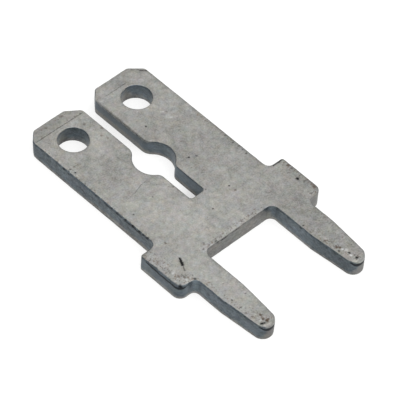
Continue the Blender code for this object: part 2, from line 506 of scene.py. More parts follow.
def edge_column(x, y):
    """The edge from the broad face down: (inset, z, roll, height over wall top, over tear)."""
    width, roll_depth = roll_at(x, y)
    tear = tear_at(x, y)
    top = top_z(x, y)
    bottom = bottom_z(x, y)
    wall_top = top - roll_depth
    wall_foot = bottom + FOOT_ROUND
    tear_top = wall_foot + (wall_top - wall_foot) * tear
    column = []
    for step in range(ROLL_STEPS):
        angle = math.pi / 2 * step / ROLL_STEPS
        outwards = math.sin(angle)
        column.append((width * (1 - outwards), top - roll_depth * (1 - math.cos(angle)), outwards))
    lean = added(x, y, LEANS)
    for step in range(WALL_STEPS + 1):
        share = step / WALL_STEPS
        z = wall_top + (wall_foot - wall_top) * share
        torn_depth = max(0, tear_top - z) / (tear_top - wall_foot)
        rough = TEAR_ROUGHNESS * noise_at(x, y, z, ROUGH_PATCH) * min(1, torn_depth / ROUGH_START)
        column.append((TEAR_INSET * torn_depth + rough + lean * share, z, 1))
    for step in range(1, FOOT_STEPS + 1):
        angle = math.pi / 2 * step / FOOT_STEPS
        inset = TEAR_INSET + lean + FOOT_ROUND * (1 - math.cos(angle))
        z = bottom + FOOT_ROUND * (1 - math.sin(angle))
        column.append((inset, z, 1))
    softness = eased(1, x, y, TEAR_SOFTNESS)
    return [(inset, z, roll, z - wall_top, (z - tear_top) / softness) for inset, z, roll in column]


def edge_rings(loop):
    """Places (ring, point, xyz) and attributes (ring, point, value) of one line's edge."""
    columns = np.array([edge_column(x, y) for x, y in loop])
    inset = columns[:, :, 0]
    plan = loop[:, None, :] - outward(loop)[:, None, :] * inset[:, :, None]
    places = np.concatenate([plan, columns[:, :, 1:2]], axis=2)
    return places.transpose(1, 0, 2), columns[:, :, 2:].transpose(1, 0, 2)


edges = [edge_rings(loop) for loop in loops]
print("rings on each edge:", len(edges[0][0]))

# %% [markdown]
# ## Marks on the surface
#
# Plating hides little. The real part has a scar on its shoulder, small black pits, brown specks
# where the tin is thin, and edges peppered with fine dots. A few bright spots are painted glints,
# and some areas of the faces are drawn a little brighter than others. All of this is listed at the
# places where it shows. Marks are stored in attributes, so the mesh has extra points round each
# one.

# %% Marks listed one by one
# Round marks, as (x, y, radius, strength)
PITS = [
    (3.67, -2.17, 0.075, 1), (-0.08, -1.07, 0.04, 0.8), (1.28, -0.61, 0.04, 0.9),
    (1.11, 1.6, 0.05, 0.85), (1.4, 1.45, 0.05, 0.6), (0.95, 4.0, 0.04, 0.85),
    (-3.0, 4.33, 0.03, 0.8), (-2.96, 4.04, 0.04, 0.9), (-3.12, 4.25, 0.035, 0.9),
    (-2.72, 0.82, 0.035, 0.7), (-1.48, 1.0, 0.035, 0.6), (-0.47, 0.85, 0.04, 0.6),
    (0.42, -0.12, 0.04, 0.6), (3.05, 0.2, 0.04, 0.6), (3.08, 0.45, 0.035, 0.6),
    (3.06, 1.0, 0.04, 0.6), (3.08, 1.5, 0.035, 0.5), (3.05, 1.7, 0.03, 0.5),
    (2.17, 4.05, 0.04, 0.35), (-1.2, -2.44, 0.06, 0.8), (-2.79, -6.7, 0.07, 1),
    (-2.7, -6.74, 0.05, 0.9), (-3.19, -3.29, 0.06, 0.85), (-2.85, -5.05, 0.04, 0.7),
    (-2.85, -5.55, 0.04, 0.7), (-2.2, -5.15, 0.04, 0.5), (2.05, -4.13, 0.045, 0.8),
    (2.19, -6.04, 0.05, 0.8), (2.43, -6.38, 0.05, 0.9), (2.47, -6.77, 0.06, 1),
]

STAINS = [
    (1.3, -0.95, 0.05, 0.7), (-2.8, -1.15, 0.05, 0.7), (-0.48, 5.12, 0.06, 0.6),
    (-1.22, 6.76, 0.08, 0.5), (-2.16, 6.7, 0.06, 0.5), (-0.9, 5.75, 0.06, 0.5),
    (-0.78, 4.83, 0.06, 0.5), (-0.67, 4.56, 0.05, 0.5), (3.88, -1.4, 0.07, 0.8),
    (3.85, -2.95, 0.07, 0.8), (-2.53, -6.34, 0.06, 0.9), (-2.6, -6.56, 0.06, 1),
    (-2.53, -6.72, 0.07, 1), (-2.44, -6.7, 0.05, 0.9), (-2.83, -6.2, 0.05, 0.7),
    (-2.9, -5.9, 0.05, 0.6), (2.13, -5.3, 0.06, 0.6), (2.25, -5.85, 0.07, 0.9),
    (2.34, -5.95, 0.06, 0.9), (2.55, -6.75, 0.05, 0.6), (-3.6, -2.75, 0.08, 0.6),
    (-3.45, -2.95, 0.06, 0.6), (-3.85, -2.3, 0.05, 0.6),
]

# Painted glints, bright spots where the tin catches the light, as (x, y, radius, strength)
PAINTED_GLINTS = [
    (2.05, 4.14, 0.05, 0.5), (1.98, 4.2, 0.04, 0.35), (2.1, 3.68, 0.05, 0.4),
    (2.04, 3.74, 0.04, 0.4), (2.38, -6.53, 0.05, 0.8), (2.34, -6.08, 0.05, 0.6),
    (2.44, -6.22, 0.07, 0.4), (-2.72, -6.55, 0.06, 0.4), (-2.42, -6.85, 0.07, 0.4),
    (-3.65, -2.5, 0.05, 0.5), (-3.5, -3.1, 0.06, 0.4),
]

# Lines, as ((x, y), ...), half width, strength
SCARS = [
    (((-2.9, -2.09), (-2.98, -2.24)), 0.045, 1),
    (((-2.96, -2.22), (-3.06, -2.42)), 0.062, 1),
    (((-3.06, -2.42), (-3.2, -2.7)), 0.025, 0.6),
    (((3.42, -1.0), (3.65, -1.01), (3.92, -1.0)), 0.035, 0.85),
    (((2.95, 6.5), (3.12, 6.3)), 0.03, 0.75),
]

SCRATCHES = [
    (((-2.5, 1.55), (-1.9, 1.62)), 0.012, 0.3),
    (((-1.9, 1.62), (-1.4, 1.78), (-1.15, 1.8)), 0.016, 0.7),
    (((1.6, -0.35), (1.75, -0.15), (1.85, 0.1)), 0.05, 0.25),
    (((-3.05, 6.31), (-1.6, 6.3), (-0.5, 6.29)), 0.022, 0.95),
    (((0.85, 6.33), (1.3, 6.33), (2.0, 6.34)), 0.02, 0.7),
]

# Pits on the cut edge, as (x, y, z, radius, strength), each smeared along it by the cut
EDGE_PITS = [
    (-3.87, -3.145, 0.735, 0.07, 1), (-1.14, CROTCH_Y, 0.75, 0.045, 0.8),
    (-3.17, -4.05, 0.48, 0.04, 0.9), (-3.17, 4.2, 0.71, 0.05, 0.9), (-3.17, 4.5, 0.76, 0.04, 0.9),
    (-3.17, 1.9, 0.74, 0.045, 0.9), (-3.14, 1.66, 0.77, 0.04, 0.9), (-3.14, 1.3, 0.77, 0.05, 0.8),
    (-3.17, 2.6, 0.77, 0.03, 0.7), (-3.14, 0.83, 0.77, 0.045, 0.9), (-3.15, 0.4, 0.77, 0.05, 1),
    (-3.15, 0.0, 0.77, 0.045, 0.9), (-3.15, -0.22, 0.77, 0.04, 0.9),
    (-3.13, -0.48, 0.78, 0.043, 0.9), (-3.13, -0.67, 0.78, 0.035, 0.8),
    (-3.17, 3.4, 0.74, 0.03, 0.7), (1.92, -4.13, 0.74, 0.04, 0.9), (1.92, -3.4, 0.74, 0.035, 0.7),
    (2.02, -5.5, 0.73, 0.04, 0.8),
]
SMEAR = 1.6  # how many times as long as wide

# Bands full of fine dots, as ((x, y), ...), half width, strength
PEPPERED = [
    (((-1.95, -2.38), (1.3, -2.4)), 0.2, 1),
    (((-3.9, -1.3), (-3.85, -2.8), (-3.5, -3.1)), 0.36, 1),
    (((-3.1, -0.5), (-3.1, 5.8)), 0.08, 0.8),
    (((-2.95, -3.6), (-2.85, -5.5), (-2.65, -6.7)), 0.14, 0.8),
    (((-2.6, -6.2), (-2.54, -6.8)), 0.3, 0.9),
    (((2.9, -3.9), (2.8, -5.5), (2.6, -6.6)), 0.25, 0.5),
    (((2.1, -4.6), (2.3, -6.3), (2.5, -6.8)), 0.18, 1),
    (((3.9, -1.2), (3.9, -2.9), (3.6, -3.2)), 0.17, 1),
    (((3.07, -0.2), (3.07, 3.5)), 0.12, 0.7),
    (((-3.0, 6.33), (-0.5, 6.31)), 0.08, 0.8),
    (((0.6, 6.33), (2.2, 6.33)), 0.08, 0.6),
    (((-2.4, 6.7), (-1.1, 6.8)), 0.12, 0.8),
    (((-3.0, 4.1), (-2.8, 4.3)), 0.18, 0.8),
    (((0.42, 6.0), (0.5, 6.4)), 0.1, 0.8),
]

# Areas drawn paler (above 0) or darker on the broad faces, as (x, y, reach along x and y, change)
TONES = [
    (-1.4, -0.3, 2.1, 2.2, 0.12),
    (0, -0.8, 0.5, 0.4, 0.09),
    (-3.1, -2.2, 0.7, 0.7, 0.045),
    (-3.2, 4.3, 0.4, 0.7, 0.035),
    (-3.1, 2.2, 0.5, 0.6, 0.045),
    (-0.8, 1.8, 0.5, 0.7, -0.07),
    (1.6, 4.6, 1.2, 0.5, 0.065),
    (3.2, 5.8, 0.4, 0.8, -0.06),
    (-0.7, -1.4, 0.9, 0.8, -0.04),
    (-3.3, 0.2, 0.7, 1.6, -0.05),
    (-PIN_X, -4.4, 1.2, 1.3, 0.09),
    (-2.3, -3, 0.9, 0.6, -0.04),
    (-PIN_X, -6.8, 0.8, 0.6, -0.13),
    (1.1, 2.4, 1.6, 1.9, -0.13),
    (3.3, 1.1, 0.7, 1.4, -0.17),
    (2.8, 4.5, 0.8, 0.7, 0.05),
    (0.8, -0.6, 0.8, 0.8, -0.03),
    (PIN_X, -4.7, 1, 2.5, -0.17),
    (2.6, -6.2, 0.6, 0.5, 0.05),
    (PIN_X, -6.7, 0.6, 0.35, -0.06),
    (3.2, -2.9, 1.3, 0.8, -0.13),
    (4, -1.9, 0.5, 1.3, -0.15),
    (4, -0.9, 0.4, 0.4, 0.05),
    (-1.7, 3.2, 1.8, 0.8, -0.125),
    (-2, 6.6, 1.2, 0.4, -0.05),
    (1.6, 6.6, 0.8, 0.4, -0.05),
    (-3.8, -0.9, 0.9, 0.9, -0.1),
    (-0.9, 4.5, 0.6, 0.7, 0.06),
]

# The same for the wall of the cut edge, partly its own wear and partly painted light and shade:
# some walls are drawn lighter or darker by the way they face, most of all inside the wire holes
WALL_TONES_AND_SHADES = [
    (-TAB_SIDE, 3, 0.3, 3.8, -0.14),
    (SLOT_SIDE, 4.9, 0.25, 2.1, -0.04),
    (SLOT_SIDE, 0.7, 0.25, 1.1, 0.02),
    (SLOT_SIDE, 0.1, 0.3, 0.5, 0.15),
    (PIN_X - TAPER_SIDE, -5.8, 0.25, 1, -0.32),
    (-PIN_X - PIN_SIDE, -4.1, 0.25, 0.9, 0.12),
    (PIN_X - PIN_SIDE, -3.9, 0.25, 1, 0.12),
    (PIN_X, PIN_TIP_Y, 0.4, 0.2, 0.03),
    (-PIN_X, PIN_TIP_Y, 0.4, 0.2, -0.14),
    (3.75, SEAT_Y, 0.5, 0.4, 0.12),
    (-3.45, SEAT_Y, 0.35, 0.2, 0.34),
    (-SHOULDER_SIDE, -2.1, 0.2, 0.9, -0.03),
    (0, CROTCH_Y, 1.8, 0.2, 0.03),
    (0.29 - TAB_SIDE, TAB_TIP_Y - 0.29, 0.35, 0.35, 0.1),
    (-TAB_SIDE, TAB_TIP_Y - 0.85, 0.25, 0.35, -0.17),
    (0.35 - HOLE_X, HOLE_Y + 0.35, 0.5, 0.5, -0.28),
    (0.5 - HOLE_X, HOLE_Y - 0.2, 0.2, 0.3, 0.1),
    (HOLE_X + 0.3, HOLE_Y + 0.3, 0.5, 0.5, 0.05),
    (HOLE_X + 0.25, HOLE_Y + 0.62, 0.25, 0.2, -0.1),
    (HOLE_X - 0.35, HOLE_Y + 0.55, 0.35, 0.3, 0.3),
    (-HOLE_X - 0.15, HOLE_Y + 0.6, 0.3, 0.25, -0.12),
    (0.25 - HOLE_X, HOLE_Y + 0.61, 0.2, 0.2, -0.1),
    (-HOLE_X - 0.47, HOLE_Y + 0.47, 0.3, 0.3, 0.3),
]

# Painted light and shade down the wall: how much lighter its top is drawn, and how much darker
# its foot, where they aren't alike
WALL_LIGHT_SLOPES = [
    (SLOT_SIDE, 0.7, 0.25, 1.1, 0.42),
    (HOLE_X + 0.1, HOLE_Y + 0.6, 0.5, 0.3, 0.25),
    (-HOLE_X - 0.15, HOLE_Y + 0.6, 0.45, 0.25, 0.3),
]

# How far painted shade, the dark of the wall, is drawn up over the roll, and how mottled the wall
# is. Near 1 the dark of the wall reaches up over the roll and the wall is more mottled. Below 0
# the roll stays pale and the wall is more even.
SHADE_AND_MOTTLE = 0.2
SHADE_AND_MOTTLE_PLACES = [
    (-TAB_SIDE, 2.5, 0.3, 4.3, 0.95),
    (-PIN_X - PIN_SIDE, -4.8, 0.35, 1.9, 0.85),
    (PIN_X - PIN_SIDE, -4.6, 0.35, 2.1, 0.6),
    (-SHOULDER_SIDE, -2.1, 0.35, 1.2, 0.3),
    (-3.4, SEAT_Y, 0.5, 0.2, 0.3),
    (-3.17, SEAT_Y, 0.15, 0.2, 0.8),
    (0, CROTCH_Y, 1.8, 0.25, 0.25),
    *[(x + 0.22, y, 0.42, 0.4, -0.5) for x, y in pin_tips],
    (3.75, SEAT_Y, 0.5, 0.4, 0.1),
    (SLOT_SIDE, 4.9, 0.3, 2.2, -0.3),
    (SLOT_SIDE, 0.7, 0.3, 1.1, 0.05),
    *[(side * HOLE_X, HOLE_Y, 1, 1, -0.5) for side in (1, -1)],
    *[(side * HOLE_X + 0.55, HOLE_Y + 0.3, 0.5, 0.6, 0.35) for side in (1, -1)],
    (HOLE_X + 0.35, HOLE_Y + 0.55, 0.35, 0.25, 0.3),
]

# A black line drawn just under the roll: 0 is almost none, and more makes it wider and less broken
BLACK_LINE = 0
BLACK_LINE_PLACES = [
    (-TAB_SIDE, 0.5, 0.2, 1.8, 0.75),
    (-TAB_SIDE, 4.8, 0.3, 1.8, 0.25),
    (-SHOULDER_SIDE, -2.1, 0.35, 1.1, 1.3),
    (-3.85, -3.1, 0.24, 0.24, 1.6),
    (PIN_X - PIN_SIDE, -4.2, 0.25, 1.2, 0.15),
    (PIN_X - TAPER_SIDE, -6.1, 0.25, 0.7, 0.35),
    (-PIN_X, PIN_TIP_Y, 0.5, 0.45, 1.9),
    (PIN_X, PIN_TIP_Y, 0.5, 0.45, 1.7),
    (-0.7, CROTCH_Y, 1, 0.2, 0.45),
]

# Painted shade along the rims of the broad faces, strongest on edges that turn away from the
# camera, and a little painted light at the pin tips: how much paler (above 0) or darker towards an
# edge
RIM_REACH = 0.12
RIM_SHADE = -0.05
RIM_SHADES = [
    (TAB_SIDE, 2.5, 0.3, 4.2, -0.2),
    (SHOULDER_SIDE, -2.1, 0.35, 1.3, -0.25),
    (3.7, SHOULDER_Y, 0.5, 0.2, -0.3),
    (-3.7, SHOULDER_Y, 0.5, 0.2, -0.2),
    (-PIN_X + PIN_SIDE, -4, 0.25, 1.4, -0.16),
    (-PIN_X + TAPER_SIDE, -5.9, 0.2, 1, -0.12),
    (PIN_X + PIN_SIDE, -4, 0.25, 1.4, -0.14),
    (PIN_X + TAPER_SIDE, -5.9, 0.2, 1, -0.2),
    (-SLOT_SIDE, 0.8, 0.2, 1.3, -0.2),
    (2.8, 6.7, 0.5, 0.5, -0.18),
    *[(x, y, 0.4, 0.3, 0.02) for x, y in pin_tips],
]


# %% How strongly a place is marked
STEEPNESS = 3  # of the border of a mark
RAGGEDNESS = 0.5  # share of its radius by which the border wanders
SPOT_LAYER = 3
STROKE_LAYER = 4
STROKE_PATCH = 0.05
PEPPER_PATCH = 0.3
FARTHEST = 2  # times the radius: beyond this nothing of a mark is left
DOT_LENGTH = 0.001  # a round mark is treated as a line that is nearly a point


def spot(distance, radius, ragged):
    """1 in the middle of a round mark and half at its radius; ragged is -1 to 1."""
    border = radius * (1 + RAGGEDNESS * ragged)
    return 0.5 - 0.5 * math.tanh(STEEPNESS * (distance / border - 1))


def line_distance(x, y, points):
    """Distance from a place to a line through the points."""
    nearest = math.inf
    for (x1, y1), (x2, y2) in zip(points, points[1:]):
        run = (x2 - x1) ** 2 + (y2 - y1) ** 2
        share = max(0, min(1, ((x - x1) * (x2 - x1) + (y - y1) * (y2 - y1)) / run))
        nearest = min(nearest, math.hypot(x - x1 - share * (x2 - x1), y - y1 - share * (y2 - y1)))
    return nearest


def strongest(x, y, layer, marks, patch=None):
    """The strongest of some marks (distance, radius, strength) at a place, or 0."""
    reached = [mark for mark in marks if mark[0] < FARTHEST * mark[1]]
    strengths = [
        strength * spot(distance, radius, noise_at(x, y, layer, patch or radius))
        for distance, radius, strength in reached
    ]
    return max([0, *strengths])


def spots_at(x, y, spots):
    """The strongest of the listed round marks at a place."""
    marks = [(math.hypot(x - mark_x, y - mark_y), *rest) for mark_x, mark_y, *rest in spots]
    return strongest(x, y, SPOT_LAYER, marks)


def edge_pits_at(x, y, z):
    """The strongest of the pits on the cut edge at a place."""
    marks = [
        (math.hypot(x - mark_x, (y - mark_y) / SMEAR, z - mark_z), *rest)
        for mark_x, mark_y, mark_z, *rest in EDGE_PITS
    ]
    return strongest(x, y, z, marks)


def strokes_at(x, y, strokes, patch=STROKE_PATCH):
    """The strongest of the listed lines at a place."""
    marks = [(line_distance(x, y, points), *rest) for points, *rest in strokes]
    return strongest(x, y, STROKE_LAYER, marks, patch)


def marked_areas():
    """Every sharp mark as (points, reach), for placing finer mesh round it."""
    spots = PITS + STAINS + PAINTED_GLINTS
    rounds = [(((x, y), (x + DOT_LENGTH, y)), radius) for x, y, radius, _ in spots]
    return rounds + [(points, half_width) for points, half_width, _ in SCARS + SCRATCHES]


print("marks:", len(PITS), "pits,", len(STAINS), "stains,", len(PAINTED_GLINTS), "flecks,",
      len(SCARS), "scars,", len(SCRATCHES), "scratches,", len(EDGE_PITS), "pits on the edge")

# %% [markdown]
# ## Broad faces
#
# Inside the innermost ring the face is nearly flat, but a flat n-gon could hold neither dents
# nor attributes. So it is filled with scattered points and joined up by a constrained Delaunay
# triangulation, which never crosses the outline. The points lie closer together round a mark
# and along the crease of each tab tip.

# %% Scattered points
FACE_SPACING = 0.075
MARK_SPACING = 0.022
MARK_MARGIN = 0.035
MARK_NEIGHBOURHOOD = 1  # points further off than this are never in the way of a mark
CREASE_SPACING = 0.05
CREASE_ROWS = (-1.5, 0, 1.5)  # times the crease's softness
CREASE_MARGIN = 0.7  # of the face's spacing; even points keep this far from the crease
EDGE_MARGIN = 0.55  # of the edge's spacing; points keep this far from the outline
NUDGE = 0.18  # of the spacing


def scattered(x_range, y_range, spacing, seed):
    """Points in staggered rows, each nudged a little so that no pattern shows."""
    rng = np.random.default_rng(seed)
    rows = np.arange(y_range[0], y_range[1], spacing * math.sqrt(3) / 2)
    across = np.arange(x_range[0], x_range[1], spacing)
    grid = [(x + spacing / 2 * (index % 2), y) for index, y in enumerate(rows) for x in across]
    return np.array(grid) + rng.uniform(-NUDGE, NUDGE, (len(grid), 2)) * spacing


def within(points, loops):
    """True where a point has the first line round it and is in none of the others."""
    inside = np.zeros(len(points), bool)
    for loop in loops:
        for (x1, y1), (x2, y2) in zip(loop, np.roll(loop, -1, axis=0)):
            if y1 == y2:
                continue
            straddles = (points[:, 1] < y1) != (points[:, 1] < y2)
            crossing = x1 + (points[:, 1] - y1) * (x2 - x1) / (y2 - y1)
            inside ^= straddles & (points[:, 0] < crossing)
    return inside


def distances(points, loops):
    """Distance from each point to the nearest point of the lines."""
    tree = KDTree(sum(len(loop) for loop in loops))
    for index, (x, y) in enumerate(np.concatenate(loops)):
        tree.insert((x, y, 0), index)
    tree.balance()
    return np.array([tree.find((x, y, 0))[2] for x, y in points])


def face_points(loops, marks, seed):
    """Points inside the lines: even ones, closer ones at the marks and along the crease."""
    x_range = (-SHOULDER_SIDE, SHOULDER_SIDE)
    even = scattered(x_range, (PIN_TIP_Y, TAB_TIP_Y), FACE_SPACING, seed)
    keep = np.abs(even[:, 1] - CREASE_Y) > CREASE_MARGIN * FACE_SPACING
    for points, reach in marks:
        far = reach + MARK_MARGIN + MARK_SPACING / 2
        near = np.abs(even - np.mean(points, axis=0)).max(axis=1) < MARK_NEIGHBOURHOOD
        keep[near] &= [line_distance(x, y, points) > far for x, y in even[near]]
    parts = [even[keep]]
    for points, reach in marks:
        far = reach + MARK_MARGIN
        low = np.min(points, axis=0) - far
        high = np.max(points, axis=0) + far
        fine = scattered((low[0], high[0]), (low[1], high[1]), MARK_SPACING, seed)
        parts.append(fine[[line_distance(x, y, points) < far for x, y in fine]])
    across = np.arange(*x_range, CREASE_SPACING)
    for row in CREASE_ROWS:
        row_y = CREASE_Y + row * CREASE_SOFTNESS
        parts.append(np.column_stack([across, np.full(len(across), row_y)]))
    scatter = np.concatenate(parts)
    scatter = scatter[within(scatter, loops)]
    room = distances(scatter, loops)
    clear = room > EDGE_MARGIN * EDGE_SPACING
    return scatter[clear], room[clear]


# %% Joined into triangles
WELD = 1e-5
ENCLOSED = 1  # the triangulation's mode that keeps only what lies inside the outer line


def filled(loops, points):
    """Triangles between the lines and the points, as indices into both, lines first."""
    corners = np.concatenate([*loops, points])
    sides = []
    hole_of = np.full(len(corners), -1)
    first = 0
    for number, loop in enumerate(loops):
        count = len(loop)
        sides += [(first + step, first + (step + 1) % count) for step in range(count)]
        if number:
            hole_of[first:first + count] = number
        first += count
    flat = [Vector(corner) for corner in corners]
    _, _, faces, sources, _, _ = delaunay_2d_cdt(flat, sides, [], ENCLOSED, WELD)
    names = [source[0] for source in sources]
    triangles = np.array([[names[corner] for corner in face] for face in faces])
    holes = hole_of[triangles]
    in_hole = (holes[:, 0] >= 0) & (holes[:, 0] == holes[:, 1]) & (holes[:, 0] == holes[:, 2])
    return triangles[~in_hole]


# %% [markdown]
# ## One mesh
#
# The top face, the rings of the three edges and the underside share their border points, so the
# mesh is closed and has no seams. Dents are pressed in from the top, and both faces wave by a
# thousandth or two, which is enough to break up a reflection.

# %% Mesh of the terminal
WAVE_HEIGHT = 0.0015
WAVE_LENGTH = 0.7
WAVE_LAYER = 20
WAVE_MARGIN = 0.2  # the waves grow to their full height over this distance from the edge
PIT_DEPTH = 0.02
SCAR_DEPTH = 0.03
SCRATCH_DEPTH = 0.006
SCRATCH_DARKNESS = 0.6  # of a pit's
TONE_FLATNESS = 1  # the tones of the faces fade more gently than other places do
WALL_TONE_START = 0.75  # how far round the roll the wall's own tone sets in
# The stored tone also carries painted light and shade from the rims and the walls
ATTRIBUTES = ("roll", "shade_and_mottle", "below_roll", "above_tear", "blackness", "tone", "pepper", "pit",
              "stain", "glint")
FAR_ABOVE = 0.5  # a height over the wall that no band of the edge reaches
FACE_SEED = 11


def rim_painted_shade(x, y, from_edge):
    """How much paler (above 0) or darker the face is drawn at this distance from the edge: painted
    shade, and painted light at the pin tips.
    """
    return eased(RIM_SHADE, x, y, RIM_SHADES) * math.exp(-((from_edge / RIM_REACH) ** 2))


def face_rows(points, room, underside):
    """Places and attributes of one broad face's inner points."""
    places = []
    values = []
    for (x, y), rim in zip(points, room):
        wave = WAVE_HEIGHT * noise_at(x, y, WAVE_LAYER + underside, WAVE_LENGTH)
        wave *= min(1, rim / WAVE_MARGIN)
        if underside:
            places.append((x, y, bottom_z(x, y) + abs(wave)))
            values.append((0, 0, FAR_ABOVE, FAR_ABOVE, 0, 0, 0, 0, 0, 0))
            continue
        pit = spots_at(x, y, PITS)
        scar = strokes_at(x, y, SCARS)
        scratch = strokes_at(x, y, SCRATCHES)
        dent = max(PIT_DEPTH * pit, SCAR_DEPTH * scar, SCRATCH_DEPTH * scratch)
        places.append((x, y, top_z(x, y) + wave - dent))
        tone = added(x, y, TONES, TONE_FLATNESS) + rim_painted_shade(x, y, rim + ROLL_WIDTH)
        values.append((
            0, 0, FAR_ABOVE, FAR_ABOVE, 0, tone, strokes_at(x, y, PEPPERED, PEPPER_PATCH),
            max(pit, scar, SCRATCH_DARKNESS * scratch), spots_at(x, y, STAINS),
            spots_at(x, y, PAINTED_GLINTS),
        ))
    return places, values


def edge_row(x, y, z, roll, below_roll, above_tear):
    """One edge point's stored numbers, in the order of ATTRIBUTES."""
    upper = 1 - roll
    face_tone = added(x, y, TONES, TONE_FLATNESS) + rim_painted_shade(x, y, upper * ROLL_WIDTH)
    share = min(1, max(0, (roll - WALL_TONE_START) / (1 - WALL_TONE_START)))
    # The wall's tones include painted light and shade, and its slope from a lighter top to a
    # darker foot
    wall_tone = added(x, y, WALL_TONES_AND_SHADES) + added(x, y, WALL_LIGHT_SLOPES) * (2 * z / THICKNESS - 1)
    tone = face_tone * (1 - share) + wall_tone * share
    numbers = (roll, eased(SHADE_AND_MOTTLE, x, y, SHADE_AND_MOTTLE_PLACES), below_roll, above_tear,
               eased(BLACK_LINE, x, y, BLACK_LINE_PLACES), tone)
    if z < THICKNESS / 2:
        return *numbers, 0, edge_pits_at(x, y, z), 0, 0
    pit = max(spots_at(x, y, PITS) * upper, strokes_at(x, y, SCARS), edge_pits_at(x, y, z))
    pepper = strokes_at(x, y, PEPPERED, PEPPER_PATCH) * upper
    return *numbers, pepper, pit, spots_at(x, y, STAINS) * upper, 0


def build_terminal(edges):
    """The whole mesh, and how many of its first faces belong to the cut edges."""
    places = []
    values = []
    faces = []
    ring_starts = []
    for rings, ring_values in edges:
        starts = []
        for ring, stored in zip(rings, ring_values):
            starts.append(len(places))
            places += [tuple(place) for place in ring]
            values += [edge_row(*place, *numbers) for place, numbers in zip(ring, stored)]
        count = len(rings[0])
        for upper, lower in zip(starts, starts[1:]):
            for step in range(count):
                after = (step + 1) % count
                faces.append((upper + step, upper + after, lower + after, lower + step))
        ring_starts.append((starts, count))
    edge_face_count = len(faces)
    for underside in (False, True):
        ring = -1 if underside else 0
        borders = [rings[ring][:, :2] for rings, _ in edges]
        marks = [] if underside else marked_areas()
        inner, room = face_points(borders, marks, FACE_SEED + underside)
        triangles = filled(borders, inner)
        names = [starts[ring] + step for starts, count in ring_starts for step in range(count)]
        names += range(len(places), len(places) + len(inner))
        more_places, more_values = face_rows(inner, room, underside)
        places += more_places
        values += more_values
        for first, second, third in triangles:
            corners = (names[first], names[second], names[third])
            faces.append(corners[::-1] if underside else corners)
    mesh = bpy.data.meshes.new("tin_plated_terminal")
    mesh.from_pydata([(x * MM, y * MM, z * MM) for x, y, z in places], [], faces)
    table = np.array(values, np.float32)
    for column, name in enumerate(ATTRIBUTES):
        attribute = mesh.attributes.new(name, "FLOAT", "POINT")
        attribute.data.foreach_set("value", np.ascontiguousarray(table[:, column]))
    mesh.shade_smooth()
    mesh.validate()
    return new_object("tin_plated_terminal", mesh), edge_face_count


terminal, edge_face_count = build_terminal(edges)
triangle_count = sum(len(face.vertices) - 2 for face in terminal.data.polygons)
print("terminal:", len(terminal.data.vertices), "points,", triangle_count, "triangles")
print("size in mm:", [round(side / MM, 3) for side in terminal.dimensions])

# %% [markdown]
# ## Shader helpers
#
# Materials are built from nodes. These helpers add a node, link or fill its sockets, and hand
# back its output, so that a recipe reads like a sum. A value that varies is linked, and a plain
# number is written straight on the socket.

# %% Shader helpers
def put(tree, socket, value):
    """Links an output to a socket, or writes a plain value on it."""
    if isinstance(value, bpy.types.NodeSocket):
        tree.links.new(value, socket)
    else:
        socket.default_value = value


def fill(tree, node, inputs):
    """Fills the node's inputs by name."""
    for name, value in inputs.items():
        put(tree, node.inputs[name], value)
    return node


def add(tree, kind, **inputs):
    """Adds a node and fills its inputs."""
    return fill(tree, tree.nodes.new(kind), inputs)


def sum_of(tree, operation, first, second=0.0, third=0.0):
    """One step of arithmetic."""
    step = tree.nodes.new("ShaderNodeMath")
    step.operation = operation
    for socket, value in zip(step.inputs, (first, second, third)):
        put(tree, socket, value)
    return step.outputs[0]


def scaled(tree, value, factor, offset):
    """The value times the factor, plus the offset."""
    return sum_of(tree, "MULTIPLY_ADD", value, factor, offset)


def vector_of(tree, operation, first, second=None, third=None, scale=None, result="Vector"):
    """One step of arithmetic with vectors or colours; the result can also be a Value."""
    step = tree.nodes.new("ShaderNodeVectorMath")
    step.operation = operation
    for socket, value in zip(step.inputs, (first, second, third, scale)):
        if value is not None:
            put(tree, socket, value)
    return step.outputs[result]


def blend(tree, share, one, other):
    """One colour turning into the other; sockets 6 and 7 and output 2 are the colour ones."""
    step = tree.nodes.new("ShaderNodeMix")
    step.data_type = "RGBA"
    put(tree, step.inputs[0], share)
    put(tree, step.inputs[6], one)
    put(tree, step.inputs[7], other)
    return step.outputs[2]


def fade(tree, value, start, end):
    """0 at start and 1 at end, with a smooth slope between; end may be the lower one."""
    step = tree.nodes.new("ShaderNodeMapRange")
    step.interpolation_type = "SMOOTHSTEP"
    return fill(tree, step, {"Value": value, "From Min": start, "From Max": end}).outputs["Result"]


def grain(tree, place, per_mm, detail):
    """Noise that averages 0.5, with this many features in a millimetre."""
    made = add(tree, "ShaderNodeTexNoise", Vector=place, Scale=per_mm, Detail=detail)
    return made.outputs["Fac"]


def swing(tree, value, width):
    """Noise that averages 0.5, turned into a change that averages 0 and spans this width."""
    return scaled(tree, value, width, -width / 2)


def place_in_mm(tree):
    """Each point's place in millimetres, measured as the part's own sizes are."""
    place = tree.nodes.new("ShaderNodeTexCoord").outputs["Object"]
    return vector_of(tree, "SCALE", place, scale=1 / MM)


def stored(tree, name):
    """A number that the mesh stores at each point."""
    step = tree.nodes.new("ShaderNodeAttribute")
    step.attribute_name = name
    return step.outputs["Fac"]


def new_group(name, inputs, outputs):
    """An empty node group with (name, socket type, value) inputs and (name, type) outputs."""
    group = bpy.data.node_groups.new(name, "ShaderNodeTree")
    for label, kind, value in inputs:
        socket = group.interface.new_socket(name=label, in_out="INPUT", socket_type=kind)
        if value is not None:
            socket.default_value = value
    for label, kind in outputs:
        group.interface.new_socket(name=label, in_out="OUTPUT", socket_type=kind)
    return group, group.nodes.new("NodeGroupInput"), group.nodes.new("NodeGroupOutput")


def use_group(tree, group, **inputs):
    """Adds a node that works as the group does."""
    made = tree.nodes.new("ShaderNodeGroup")
    made.node_tree = group
    return fill(tree, made, inputs)


